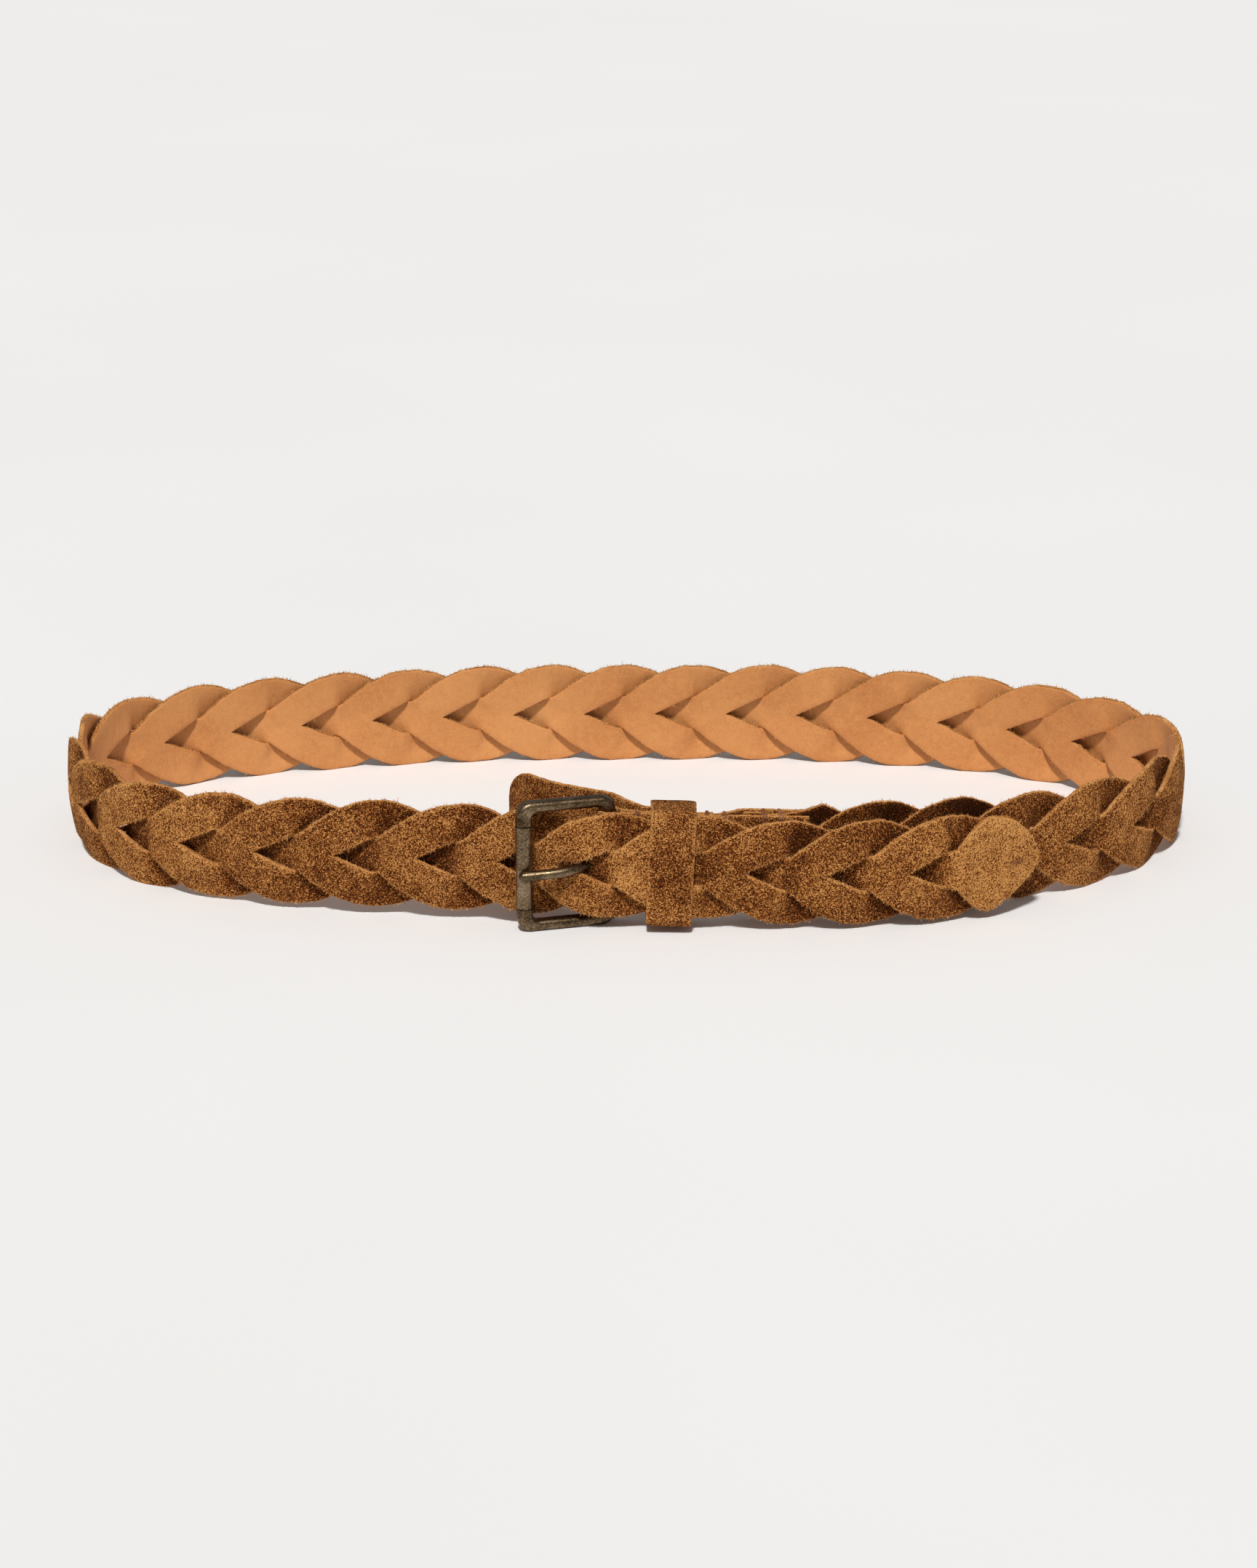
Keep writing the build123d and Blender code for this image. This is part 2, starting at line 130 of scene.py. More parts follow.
THREAD = 0.7
ROW_THREAD = 0.9  # the heavier thread of the chape's rows


# ---------------------------------------------------------------- small helpers
def smooth(x):
    x = np.clip(x, 0.0, 1.0)
    return x * x * (3 - 2 * x)


def unit(v):
    return v / np.maximum(np.linalg.norm(v, axis=-1, keepdims=True), 1e-9)


def line_length(points):
    return np.linalg.norm(np.diff(points, axis=0), axis=1).sum()


def shown(name, data):
    """An object in the scene that shows a mesh, a light or a camera."""
    piece = bpy.data.objects.new(name, data)
    bpy.context.scene.collection.objects.link(piece)
    return piece


def ripple(seed, waves, *where):
    """A gentle random wave of about -1 to 1 over one or two coordinates in mm."""
    rng = np.random.default_rng(seed)
    total = 0.0
    for length in waves:
        phase = rng.uniform(0, 2 * pi)
        for w in where:
            phase = phase + w * 2 * pi / (length * rng.uniform(0.8, 1.25)) * rng.choice((-1, 1))
        total = total + np.sin(phase)
    return total / len(waves)


def line_at(s):
    """x, y and heading at lengths s along the belt's line."""
    s = np.asarray(s, float)
    x = np.full(s.shape, LINE_START[0])
    y = np.full(s.shape, LINE_START[1])
    heading = np.full(s.shape, radians(LINE_HEADING))
    left = s.copy()
    for length, turn in LINE:
        step = np.clip(left, 0, length)
        bend = radians(turn) * step / length
        chord = step * np.sinc(bend / (2 * pi))
        x = x + chord * np.cos(heading + bend / 2)
        y = y + chord * np.sin(heading + bend / 2)
        heading = heading + bend
        left = left - length
    return x, y, heading


def lift_at(s):
    """How far the braid's lower edge stands off the ground at lengths s along the line."""
    fall = CHAPE_LIFT * (1 - smooth(s / CHAPE_FALL))
    rise = BUCKLE_LIFT * smooth((s - HOLE_AT + BUCKLE_RISE[0]) / BUCKLE_RISE[1])
    return fall + rise + (TIP_LIFT - BUCKLE_LIFT) * smooth((s - HOLE_AT - TIP_FALL[0]) / TIP_FALL[1])


def s_of(u):
    """Length along the line of places given in pitches past the prong's V."""
    u = np.asarray(u, float)
    s = HOLE_AT + np.maximum(u, 0) * PITCH
    back = np.maximum(-u, 0)
    for count, each in PITCH_RUNS:
        s = s - np.minimum(back, count) * each
        back = back - np.minimum(back, count)
    return s + PRONG_PULL * np.clip(1 - np.where(u > 0, u / 2, -u), 0, 1)


def u_of(s):
    table = np.linspace(-34, 6, 40001)
    return float(np.interp(s, s_of(table), table))


# ---------------------------------------------------------------- a sheet of leather with a slit
NEAR_EDGE = np.array((0.0, 0.3, 0.85))  # columns beside a free edge
INNER_COLUMNS = 5
EDGE_ROUND = 0.85
EDGE_THIN = 0.24
EDGE_BULGE = 0.24
EDGE_BAND = 2.5  # how far in from a cut edge the nap is paler and the smooth face is painted darker, for the shade where the straps overlap
SLIT_OPENS = 0.8  # half-width at which a slit's edges are fully rounded
PLAIN_TONE = 0.6
GROUND = 0.05  # the lowest that leather or fibre reaches
rims = {}  # piece name -> where its cut edges run, for the fuzz


def columns(low, high):
    """Places across from low to high, closer together at both edges."""
    near = NEAR_EDGE[None] * np.minimum(1, (high - low) / 5)[:, None]
    a = low[:, None] + near
    b = high[:, None] - near[:, ::-1]
    t = np.arange(1, INNER_COLUMNS + 1)[None] / (INNER_COLUMNS + 1)
    inner = a[:, -1:] + (b[:, :1] - a[:, -1:]) * t
    return np.concatenate([a, inner, b], axis=1)


def leather(name, plan, out, mid_z, low, high, slit, thick, bend=None, tone=None,
            floor=GROUND, shift=TO_FRAME):
    """A sheet standing on edge along a plan line: outer face, inner face and rounded cut edges.

    low and high are its edges from mid_z, slit half the opening along its middle; bend gives the
    middle surface's offset along out at places v across it.
    """
    n = len(plan)
    v = np.concatenate([columns(low, -slit), columns(slit, high)], axis=1)
    m = v.shape[1] // 2
    offset = bend(v) if bend else np.zeros_like(v)
    middle = np.empty((n, 2 * m, 3))
    middle[:, :, 0] = plan[:, None, 0] + out[:, None, 0] * offset
    middle[:, :, 1] = plan[:, None, 1] + out[:, None, 1] * offset
    middle[:, :, 2] = mid_z[:, None] + v
    along = unit(np.gradient(middle, axis=0))
    halves = (middle[:, :m], middle[:, m:])
    across = unit(np.concatenate([np.gradient(part, axis=1) for part in halves], axis=1))
    normal = unit(np.cross(along, across))
    facing = np.sum(normal[:, :, :2] * out[:, None, :], axis=2).mean()
    normal *= np.sign(facing)
    closed = slit < 1e-6
    both = unit(normal[:, m - 1] + normal[:, m])
    normal[closed, m - 1] = both[closed]
    normal[closed, m] = both[closed]

    from_rim = np.minimum(v - low[:, None], high[:, None] - v)
    from_slit = np.where(v < 0, -slit[:, None] - v, v - slit[:, None])
    thin = EDGE_THIN * np.clip(1 - from_rim / EDGE_ROUND, 0, 1) ** 2
    opened = np.clip(slit / SLIT_OPENS, 0, 1)[:, None]
    thin = np.maximum(thin, EDGE_THIN * opened * np.clip(1 - from_slit / EDGE_ROUND, 0, 1) ** 2)
    thin[[0, -1]] = EDGE_THIN
    half = thick / 2 * (1 - thin)
    front = middle + normal * half[:, :, None]
    back = middle - normal * half[:, :, None]
    rim = middle.copy()
    rim[:, 0] -= across[:, 0] * EDGE_BULGE
    rim[:, -1] += across[:, -1] * EDGE_BULGE
    rim[:, m - 1] += across[:, m - 1] * EDGE_BULGE * opened
    rim[:, m] -= across[:, m] * EDGE_BULGE * opened
    rim[0] -= along[0] * EDGE_BULGE
    rim[-1] += along[-1] * EDGE_BULGE

    index = np.arange(n * 2 * m).reshape(n, 2 * m)
    layers = (index, index + n * 2 * m, index + 2 * n * 2 * m)  # front, rim, back
    faces = []
    kinds = []

    def add(a, b, c, d, kind):
        quads = np.stack([a.ravel(), b.ravel(), c.ravel(), d.ravel()], axis=1)
        faces.append(quads)
        kinds.append(np.full(len(quads), kind))

    for grid, kind in ((layers[0], 0), (layers[2], 1)):
        for part in (grid[:, :m], grid[:, m:]):
            add(part[:-1, :-1], part[1:, :-1], part[1:, 1:], part[:-1, 1:], kind)
    open_run = ~(closed[:-1] & closed[1:])
    everywhere = np.full(n - 1, True)
    cut_columns = ((0, -1, everywhere), (2 * m - 1, 1, everywhere), (m - 1, 1, open_run), (m, -1, open_run))
    for column, _, where in cut_columns:
        for upper, lower in ((layers[0], layers[1]), (layers[1], layers[2])):
            a, b = upper[:-1, column][where], upper[1:, column][where]
            add(a, b, lower[1:, column][where], lower[:-1, column][where], 2)
    for end in (0, n - 1):
        for upper, lower in ((layers[0], layers[1]), (layers[1], layers[2])):
            for part in (slice(0, m), slice(m, 2 * m)):
                row_a, row_b = upper[end, part], lower[end, part]
                add(row_a[:-1], row_a[1:], row_b[1:], row_b[:-1], 2)

    points = np.concatenate([g.reshape(-1, 3) for g in (front, rim, back)])
    points[:, 2] = np.maximum(points[:, 2], floor)
    points += shift
    nearest = np.minimum(from_rim, np.where(opened > 0, from_slit, 99.0))
    edge = np.tile(np.clip(1 - nearest / EDGE_BAND, 0, 1).ravel(), 3)
    shade = np.tile((np.full((n, 2 * m), PLAIN_TONE) if tone is None else tone(v)).ravel(), 3)
    piece = mesh_piece(name, points, np.concatenate(faces), np.concatenate(kinds), edge=edge, tone=shade)
    runs = []
    for column, sign, where in cut_columns:
        keep = np.append(where, where[-1])
        runs.append((front[keep, column] + shift, back[keep, column] + shift,
                     sign * across[keep, column], normal[keep, column]))
    for end, sign in ((0, -1), (n - 1, 1)):
        runs.append((front[end] + shift, back[end] + shift, sign * along[end], normal[end]))
    rims[name] = runs
    return piece


def mesh_piece(name, points, faces, kinds=None, **values):
    """A shown object from points in mm; coincident points are welded and the faces turned outward."""
    mesh = bpy.data.meshes.new(name)
    mesh.from_pydata((points * MM).tolist(), [], faces.tolist())
    for key, value in values.items():
        mesh.attributes.new(key, "FLOAT", "POINT").data.foreach_set("value", value.astype(np.float32))
    if kinds is not None:
        mesh.polygons.foreach_set("material_index", kinds.astype(np.int32))
    work = bmesh.new()
    work.from_mesh(mesh)
    bmesh.ops.remove_doubles(work, verts=work.verts, dist=2e-6)
    bmesh.ops.delete(work, geom=[p for p in work.verts if not p.link_faces], context="VERTS")
    bmesh.ops.recalc_face_normals(work, faces=work.faces)
    work.to_mesh(mesh)
    work.free()
    mesh.polygons.foreach_set("use_smooth", np.full(len(mesh.polygons), True))
    return shown(name, mesh)


STRAP_FUZZ = (0.5, 1.8)  # shortest and longest loose fibre of the straps
FITTING_FUZZ = (0.25, 0.7)
FIBRE_THICK = (0.08, 0.16)
RIM_GAP = 4  # a longer step between two rim points is a gap in the rim, and grows no fibre
LONG_FIBRES = (0.03, 1.8)  # share of fibres that are longer, and by how much


def fuzz(name, of, density, seed, length=STRAP_FUZZ):
    """Short loose fibres standing out of the cut edges of a piece, each a thin closed spike."""
    rng = np.random.default_rng(seed)
    bases, ways = [], []
    for front, back, outward, normal in rims[of]:
        if len(front) < 2:
            continue
        seg = np.linalg.norm(np.diff(front, axis=0), axis=1)
        seg = np.where(seg > RIM_GAP, 0, seg)
        total = seg.sum()
        count = int(total * density)
        if count == 0:
            continue
        pick = rng.choice(len(seg), count, p=seg / total)
        t = rng.uniform(0, 1, count)[:, None]
        deep = rng.beta(1.0, 1.6, count)[:, None]
        a = front[pick] * (1 - t) + front[pick + 1] * t
        b = back[pick] * (1 - t) + back[pick + 1] * t
        tangent = unit(front[pick + 1] - front[pick])
        way = outward[pick] * rng.uniform(0.3, 1.0, count)[:, None]
        way = way + normal[pick] * (rng.normal(0.15, 0.45, count))[:, None]
        way = way + tangent * rng.normal(0, 0.6, count)[:, None]
        bases.append(a * (1 - deep) + b * deep - outward[pick] * 0.05)
        ways.append(unit(way))
    base = np.concatenate(bases)
    way = np.concatenate(ways)
    return spikes(name, base, way, rng, length)


def spikes(name, base, way, rng, length):
    """A closed three-sided spike for each fibre, curled a little at random."""
    count = len(base)
    size = length[0] + (length[1] - length[0]) * rng.beta(1.2, 2.6, count)[:, None]
    size = np.where(rng.uniform(0, 1, count)[:, None] < LONG_FIBRES[0], size * LONG_FIBRES[1], size)
    thick = rng.uniform(*FIBRE_THICK, count)[:, None]
    side = unit(np.cross(way, rng.normal(size=(count, 3))))
    other = np.cross(way, side)
    corners = []
    for k in range(3):
        turn = 2 * pi * k / 3
        corners.append(base + thick * (side * cos(turn) + other * sin(turn)))
    curl = unit(rng.normal(size=(count, 3))) * size * 0.25
    tip = base + way * size + curl
    tip[:, 2] = np.maximum(tip[:, 2], GROUND)
    points = np.stack(corners + [tip], axis=1).reshape(-1, 3)
    first = np.arange(count)[:, None] * 4
    tetra = np.array(((0, 1, 3), (1, 2, 3), (2, 0, 3), (2, 1, 0)))
    faces = (first[:, :, None] + tetra[None]).reshape(-1, 3)
    mesh = bpy.data.meshes.new(name)
    mesh.from_pydata((points * MM).tolist(), [], faces.tolist())
    return shown(name, mesh)


# ---------------------------------------------------------------- braided straps
def ring_phase(u, middle):
    """Pitches from the middle of the nearest ring, from -1 to 1."""
    return (u - middle + 1) % 2 - 1


def strap_half_width(u, middle):
    x = np.clip((np.abs(ring_phase(u, middle)) - CORNER) / (1 - 2 * CORNER), 0, 1)
    full = STRAP_WIDTH * (NECK + (0.5 - NECK) * (1 - x**RING_POWER)) * (1 - SLIM * smooth(u + 0.5))
    return np.minimum(full, SEWN_HALF + (STRAP_WIDTH / 2 - SEWN_HALF) * smooth((s_of(u) - 30) / 20))


def leaf_half_width(u, power):
    """Half the tip's outline; its upper side is cut rounder (a higher power) than its lower one."""
    swell, blunt = 0.42, 0.58
    start = LEAF_NECK + 0.1
    x = (u - start) / (TIP_PITCHES - start)
    widening = STRAP_WIDTH * (NECK + (0.45 - NECK) * np.sin(pi / 2 * np.clip(x, 0, swell) / swell))
    closing = STRAP_WIDTH * 0.45 * np.maximum(1 - (np.maximum(x - swell, 0) / blunt) ** power, 0.03) ** 0.6
    return np.where(x <= swell, widening, closing)


def slit_at(u, middle):
    x = np.abs(ring_phase(u, middle))
    widest = STRAP_WIDTH * SLIT * (1 - SLIM * smooth(u + 0.5))
    return widest * np.clip((SLIT_END - x) / (SLIT_END - CORNER), 0, 1)


def layer_side(u, middle, v, leaf_from):
    """1 where a strap lies over the other, before a ring's middle, and -1 where it lies under, after it.

    Each part of the strap takes the longest, gentlest ramp that the other strap leaves room for.
    """
    x = ring_phase(u, middle)[:, None]
    a = np.abs(v)
    arm = CROSSING + 0.28 * smooth((a - 9) / 9)
    neck = CROSSING + 0.26 * (1 - smooth(a / 6.5))
    near_neck = np.where(x > 0, x - 1, x + 1)
    down = -np.sin(pi / 2 * np.clip(x / arm, -1, 1))
    up = np.sin(pi / 2 * np.clip(near_neck / neck, -1, 1))
    side = np.where(np.abs(x) < 0.5, down, up)
    return np.where(u[:, None] > leaf_from, 1.0, side)


def layer_bend(u, middle, v, leaf_from):
    """Offset of a strap's middle surface; the keeper presses the braid flat."""
    side = layer_side(u, middle, v, leaf_from)
    x = ring_phase(u, middle)[:, None]
    a = np.abs(v)
    start, end, ease = KEEPER_PRESS
    pressed = smooth((u - start) / ease) * (1 - smooth((u - end) / ease))
    pillow = np.sin(pi * np.clip(-x, -1, 1)) * np.clip(1 - (a / 19) ** 2, 0, 1)
    return LAYER * side + np.where(u[:, None] > leaf_from, 0.3, pillow * (1 - 0.85 * pressed)[:, None])


def stations(middle, start, end):
    """Places along a strap, with one at both ends of every slit."""
    places = []
    ring = middle + 2 * np.floor((start - middle) / 2) - 2
    offsets = np.arange(-1, 1, 0.04)
    offsets[np.abs(offsets + 0.52) < 0.01] = -SLIT_END
    offsets[np.abs(offsets - 0.52) < 0.01] = SLIT_END
    while ring < end + 2:
        places.append(ring + offsets)
        ring += 2
    u = np.concatenate(places)
    u = u[(u > start + 0.012) & (u < end - 0.012)]
    return np.concatenate([[start], u, [end]])


def strap(name, middle, start, end, seed, leaf=False):
    """One braided strap from start to end, in pitches past the prong's V; middle is one ring's middle."""
    u = stations(middle, start, end)
    if leaf:
        blunt_from = 5.2
        tail = blunt_from + (TIP_PITCHES - blunt_from) * np.sin(pi / 2 * np.arange(19) / 18)
        u = np.concatenate([u[u < blunt_from - 0.01], tail])
    s = s_of(u)
    x, y, heading = line_at(s)
    out = np.stack([np.sin(heading), -np.cos(heading)], axis=1)
    plan = np.stack([x, y], axis=1)
    half = strap_half_width(u, middle)
    slit = slit_at(u, middle)
    half_up = half
    if leaf:
        past = u >= LEAF_NECK + 0.1
        half_up = np.where(past, leaf_half_width(u, 1.9), half)
        half = np.where(past, leaf_half_width(u, 1.15), half)
        slit = np.where(u > LEAF_NECK, 0, slit)
    if middle == FIRST_RING:
        hole = PRONG_HOLE * np.sqrt(np.clip(1 - (np.minimum(u, 0) / 0.1) ** 2, 0, 1))
        slit = np.where((u > -0.1) & (u < 0.3), np.maximum(slit, hole), slit)
    else:
        hole = PRONG_HOLE * np.sqrt(np.clip(1 - (np.maximum(u, 0) / 0.3) ** 2, 0, 1))
        slit = np.where((u > -0.3) & (u < 0.3), np.maximum(slit, hole), slit)
    rough = 0.16 * ripple(seed, (2.3, 3.1, 4.7), s) + 0.22 * ripple(seed + 1, (9, 17, 31), s)
    low_rough = 0.16 * ripple(seed + 2, (2.1, 3.3, 5.1), s) + 0.22 * ripple(seed + 3, (8, 19, 37), s)
    drift = 0.3 * ripple(9, (61, 97), s) + 0.15 * ripple(seed + 4, (47, 83), s)
    inner_room = np.minimum(half - slit, 3) / 3
    high = half_up + rough * inner_room + drift
    low = -half + low_rough * inner_room + drift
    ring_tone = np.random.default_rng(seed + 5).uniform(0.28, 0.72, 80)
    ring_index = np.floor((u - middle + 1) / 2).astype(int) + 40

    leaf_from = LEAF_NECK + 0.3 if leaf else 99.0

    def bend(v):
        along = s[:, None] + 0 * v
        common = 0.22 * ripple(7, (43, 71), along, v) + 0.16 * ripple(8, (17, 29), along, v)
        crown = 0.4 - 1.1 * (v / 19) ** 2
        return layer_bend(u, middle, v, leaf_from) + common + crown

    def tone(v):
        # each ring's own tone, with painted shade behind the free end and where the strap lies under the
        # other, and painted light where it lies over it
        behind = smooth((s - SHADE_IN[0]) / SHADE_IN[1]) * (1 - smooth((s - SHADE_OUT[0]) / SHADE_OUT[1]))
        shade = (ring_tone[ring_index] - FREE_END_SHADE * behind)[:, None]
        # painted shade where the strap lies under the other, painted light where it lies over it
        shade = shade + LAP_SHADE * layer_side(u, middle, v, leaf_from)
        if leaf:
            on_leaf = smooth((u - 4.3) / 0.4)
            shade = shade * (1 - on_leaf)[:, None] + LEAF_TONE * on_leaf[:, None]
        return shade

    mid_z = STRAP_WIDTH / 2 + lift_at(s)
    return leather(name, plan, out, mid_z, low, high, slit, LEATHER, bend, tone)


# ---------------------------------------------------------------- suede fittings
def curve_through(points, count):
    """A smooth curve through plan points (centripetal Catmull-Rom), evenly spaced."""
    p = np.array(points, float)
    p = np.vstack([2 * p[0] - p[1], p, 2 * p[-1] - p[-2]])
    knots = np.concatenate([[0], np.cumsum(np.sqrt(np.linalg.norm(np.diff(p, axis=0), axis=1)))])
    out = []
    for i in range(1, len(p) - 2):
        t0, t1, t2, t3 = knots[i - 1:i + 3]
        t = np.linspace(t1, t2, 40)[:, None]
        a1 = (t1 - t) / (t1 - t0) * p[i - 1] + (t - t0) / (t1 - t0) * p[i]
        a2 = (t2 - t) / (t2 - t1) * p[i] + (t - t1) / (t2 - t1) * p[i + 1]
        a3 = (t3 - t) / (t3 - t2) * p[i + 1] + (t - t2) / (t3 - t2) * p[i + 2]
        b1 = (t2 - t) / (t2 - t0) * a1 + (t - t0) / (t2 - t0) * a2
        b2 = (t3 - t) / (t3 - t1) * a2 + (t - t1) / (t3 - t1) * a3
        out.append((t2 - t) / (t2 - t1) * b1 + (t - t1) / (t2 - t1) * b2)
    return resample(np.concatenate(out), count)


def resample(p, count):
    p = np.asarray(p, float)
    keep = np.append(True, np.linalg.norm(np.diff(p, axis=0), axis=1) > 1e-6)
    p = p[keep]
    run = np.concatenate([[0], np.cumsum(np.linalg.norm(np.diff(p, axis=0), axis=1))])
    at = np.linspace(0, run[-1], count)
    return np.stack([np.interp(at, run, p[:, k]) for k in range(p.shape[1])], axis=1)


def right_of(plan):
    """Unit vectors to the right of a plan line's direction."""
    way = unit(np.gradient(plan, axis=0))
    return np.stack([way[:, 1], -way[:, 0]], axis=1)


def chape_half(x):
    """Half the chape's width: it narrows from the buckle to where it ends on the braid."""
    return (CHAPE_WIDTH + (CHAPE_END_WIDTH - CHAPE_WIDTH) * np.clip(x / CHAPE_END_X, 0, 1)) / 2


def over_braid(side, offset):
    s = np.array((14, 20, 26, 31, CHAPE_END_X - LINE_START[0]), float)
    x, y, heading = line_at(s)
    return tuple(zip(x + side * offset * np.sin(heading), y - side * offset * np.cos(heading)))


def chape():
    """One strip: outside the braid, round the heel bar and back inside the braid."""
    cx, cy = HEEL_BAR
    front = curve_through(CHAPE_FRONT + over_braid(1, BRAID_STACK), 160)[::-1]
    turn = np.radians(np.linspace(-90, -360 + FOLD_END, 60))[1:-1]
    bend = np.stack([cx + FOLD_R * np.cos(turn), cy + FOLD_R * np.sin(turn)], axis=1)
    leave = (cx + FOLD_R * cos(radians(FOLD_END)), cy + FOLD_R * sin(radians(FOLD_END)))
    back = curve_through((leave,) + CHAPE_BACK + over_braid(-1, BRAID_STACK), 160)
    plan = resample(np.concatenate([front, bend, back]), 230)
    out = -right_of(plan)
    n = len(plan)
    s = np.linspace(0, line_length(plan), n)
    fold = s[np.argmin(plan[:, 0])]
    slot = CHAPE_SLOT[1] * np.sqrt(np.clip(1 - ((s - fold) / CHAPE_SLOT[0]) ** 4, 0, 1))
    slot[np.abs(s - fold) > CHAPE_SLOT[0]] = 0
    half = chape_half(plan[:, 0])
    high = half + 0.15 * ripple(31, (3, 5, 23), s)
    low = -half + 0.15 * ripple(32, (3, 5, 19), s)
    return leather("chape_suede", plan, out, np.full(n, CHAPE_MID_Z), low, high, slot, CHAPE_LEATHER)


def guard_flap():
    """The tab behind the buckle, sewn in under the chape and curling away at its rounded end."""
    plan = curve_through(FLAP_LINE, 110)
    out = -right_of(plan)
    out = np.where(out[:, 1:] > 0, -out, out)
    n = len(plan)
    x = plan[:, 0]
    s = np.linspace(0, line_length(plan), n)
    end = s[-1]
    sewn = float(chape_half(FLAP_LINE[0][0])) - 0.1
    low_edge = np.interp(x, (2, 24), (FLAP_TOP - FLAP_WIDTH, CHAPE_MID_Z - sewn))
    squeezed = (KEEPER_MID_X - KEEPER_BAND / 2 - 0.6, KEEPER_TOP - 0.5)
    high_edge = np.interp(x, (-6, squeezed[0], 24), (FLAP_TOP, squeezed[1], CHAPE_MID_Z + sewn))
    into = np.clip(s - end + FLAP_CORNER, 0, FLAP_CORNER)
    round_off = FLAP_CORNER - np.sqrt(np.clip(FLAP_CORNER**2 - into**2, 0, None))
    round_off = np.minimum(round_off, FLAP_CORNER)
    mid = np.full(n, (FLAP_TOP + FLAP_TOP - FLAP_WIDTH) / 2)
    high = high_edge - mid - round_off + 0.15 * ripple(41, (3, 5, 17), s)
    low = low_edge - mid + round_off + 0.15 * ripple(42, (3, 5, 17), s)

    def curl(v):
        return 0.35 * ripple(43, (31, 53), s[:, None] + 0 * v, v)

    return leather("guard_flap_suede", plan, out, mid, low, high, np.zeros(n), CHAPE_LEATHER, curl)


def keeper():
    """A strip bent into a flat loop; the plan line is its section, laid down and stood up again."""
    deep = KEEPER_BACK - KEEPER_FRONT + KEEPER_LEATHER
    high = KEEPER_TOP - KEEPER_BOTTOM + KEEPER_LEATHER
    radius = KEEPER_ROUND
    corners = []
    gap = KEEPER_GAP
    for cx, cy, start in ((1, 1, 0), (-1, 1, 90), (-1, -1, 180), (1, -1, 270)):
        turn = np.radians(np.linspace(start, start + 90, 12))
        corners.append(np.stack([cx * (deep / 2 - radius) + radius * np.cos(turn),
                                 cy * (high / 2 - radius) + radius * np.sin(turn)], axis=1))
    loop = np.concatenate([[(deep / 2, gap)]] + corners + [[(deep / 2, -gap)]])
    plan = resample(loop, 150)
    out = right_of(plan)
    n = len(plan)
    s = np.linspace(0, line_length(plan), n)
    half = KEEPER_BAND / 2
    low = -half + 0.12 * ripple(51, (3, 4, 13), s)
    top = half + 0.12 * ripple(52, (3, 4, 13), s)

    def bow(v):
        return 0.12 * ripple(53, (11, 23), s[:, None] + 0 * v, v) + 0.25 * (1 - (v / half) ** 2)

    flat = np.zeros(n)
    piece = leather("keeper_suede", plan, out, flat, low, top, flat, KEEPER_LEATHER, bow,
                    floor=-np.inf, shift=np.zeros(3))
    stand = np.array(keeper_place().to_3x3())
    move = np.array(keeper_place().translation) / MM
    co = np.array([p.co for p in piece.data.vertices]) / MM
    swap = np.array(((0, 0, 1), (1, 0, 0), (0, 1, 0)), float)  # plan x, y, z -> y, z, x
    turn = stand @ swap
    piece.data.vertices.foreach_set("co", ((co @ turn.T + move) * MM).ravel())
    moved = []
    for front, back, outward, normal in rims["keeper_suede"]:
        moved.append((front @ turn.T + move, back @ turn.T + move, outward @ turn.T, normal @ turn.T))
    rims["keeper_suede"] = moved
    return piece


def keeper_place():
    """Where the keeper's middle is, as the part places it."""
    middle = Vector((KEEPER_MID_X + SHIFT[0], (KEEPER_FRONT + KEEPER_BACK) / 2 + SHIFT[1],
                     (KEEPER_BOTTOM + KEEPER_TOP) / 2)) * MM
    return Matrix.Translation(middle) @ Matrix.Rotation(radians(KEEPER_LEAN), 4, "Y")


# ---------------------------------------------------------------- thread
PLIES = 3
PLY_TURN = 1.9  # length of thread in one twist
PLY_SIDES = 7
PLY_STEP = 0.22
STITCH_STEP = 5.4
STITCH_HALF = 2.2
WHIP_END = 0.15  # share of a whipped stitch that runs down each face
WHIP_DROP = 4.5
TIP_STITCH_AT = 5.44
TIP_STITCH_HALF = 2.1
TIP_STITCH_OUT = 0.8  # how far it stands off the leather's face


def twisted(paths, name, radius=THREAD / 2):
    """Twisted thread along each path (points in mm, frame coordinates), as closed tubes."""
    points, faces = [], []
    total = 0
    ring = PLY_SIDES
    for path in paths:
        path = np.asarray(path, float)
        length = line_length(path)
        count = max(int(length / PLY_STEP), 6)
        line = resample(path, count)
        way = unit(np.gradient(line, axis=0))
        hint = np.array((0.31, 0.57, 0.76))
        side = unit(np.cross(way, hint))
        other = np.cross(way, side)
        run = np.linspace(0, length, count)
        ends = np.sqrt(np.clip(np.minimum(run, length - run) / 0.3, 0.05, 1))
        for ply in range(PLIES):
            turn = 2 * pi * (run / PLY_TURN + ply / PLIES)
            mid = line + radius * 0.48 * (side * np.cos(turn)[:, None] + other * np.sin(turn)[:, None])
            mid_way = unit(np.gradient(mid, axis=0))
            a = unit(np.cross(mid_way, hint))
            b = np.cross(mid_way, a)
            for k in range(ring):
                t = 2 * pi * k / ring
                points.append(mid + (radius * 0.56 * ends)[:, None] * (a * cos(t) + b * sin(t)))
            grid = total + np.arange(ring)[None, :] * count + np.arange(count)[:, None]
            nxt = np.roll(grid, -1, axis=1)
            faces += np.stack([grid[:-1], nxt[:-1], nxt[1:], grid[1:]], axis=-1).reshape(-1, 4).tolist()
            faces += [grid[0][::-1].tolist(), grid[-1].tolist()]
            total += ring * count
    mesh = bpy.data.meshes.new(name)
    mesh.from_pydata((np.concatenate(points) * MM).tolist(), [], faces)
    mesh.polygons.foreach_set("use_smooth", np.full(len(mesh.polygons), True))
    return shown(name, mesh)


